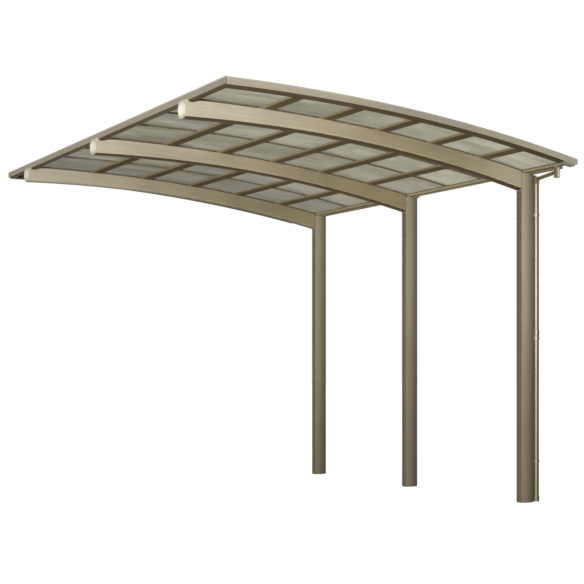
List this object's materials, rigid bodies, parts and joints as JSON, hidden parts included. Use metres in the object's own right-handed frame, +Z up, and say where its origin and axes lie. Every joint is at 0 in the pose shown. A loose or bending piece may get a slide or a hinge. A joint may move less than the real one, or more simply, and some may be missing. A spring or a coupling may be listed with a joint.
{
  "type": "carport",
  "caption": "Cantilever carport: curved beams on a single row of ground-set posts carry a gently arched roof of translucent sheets, with a gutter and downpipe on the post side.",
  "frame": {"origin": "centre of the middle post's foot, on the ground", "axes": "+Z up, +Y along the roof towards its far end, -X from the posts towards the free edge"},
  "size_m": [3.1858, 4.1, 2.8734],
  "materials": {
    "bronze_pale": "champagne bronze anodised aluminium, satin",
    "bronze_dark": "dark bronze anodised aluminium, satin",
    "smoked_sheet": "smoked translucent polycarbonate sheet",
    "cap_cream": "cream moulded plastic",
    "drain_plastic": "beige drain plastic, semi gloss"
  },
  "bodies": {
    "root": {"post_near": "bronze_pale", "post_middle": "bronze_pale", "post_far": "bronze_pale", "post_caps": "bronze_dark", "beam_near": "bronze_pale", "beam_middle": "bronze_pale", "beam_far": "bronze_pale", "beam_end_caps": "cap_cream", "beam_sockets": "bronze_dark", "purlin_1": "bronze_dark", "purlin_2": "bronze_dark", "purlin_3": "bronze_dark", "purlin_4": "bronze_dark", "purlin_5": "bronze_dark", "gutter": "bronze_pale", "gutter_end_caps": "drain_plastic", "eave_frame": "bronze_dark", "eave_cover": "bronze_pale", "near_verge_frame": "bronze_dark", "near_verge_cover": "bronze_pale", "far_verge_frame": "bronze_dark", "far_verge_cover": "bronze_pale", "verge_end_caps": "bronze_pale", "roof_bar_1": "bronze_dark", "roof_bar_2": "bronze_dark", "roof_bar_3": "bronze_dark", "roof_bar_4": "bronze_dark", "roof_bar_5": "bronze_dark", "roof_bar_6": "bronze_dark", "roof_bar_7": "bronze_dark", "roof_panel_1": "smoked_sheet", "roof_panel_2": "smoked_sheet", "roof_panel_3": "smoked_sheet", "roof_panel_4": "smoked_sheet", "roof_panel_5": "smoked_sheet", "roof_panel_6": "smoked_sheet", "roof_panel_7": "smoked_sheet", "roof_panel_8": "smoked_sheet", "drain_outlet": "drain_plastic", "drain_tube": "drain_plastic", "downpipe": "drain_plastic", "pipe_clips": "drain_plastic"}
  },
  "joints": []
}
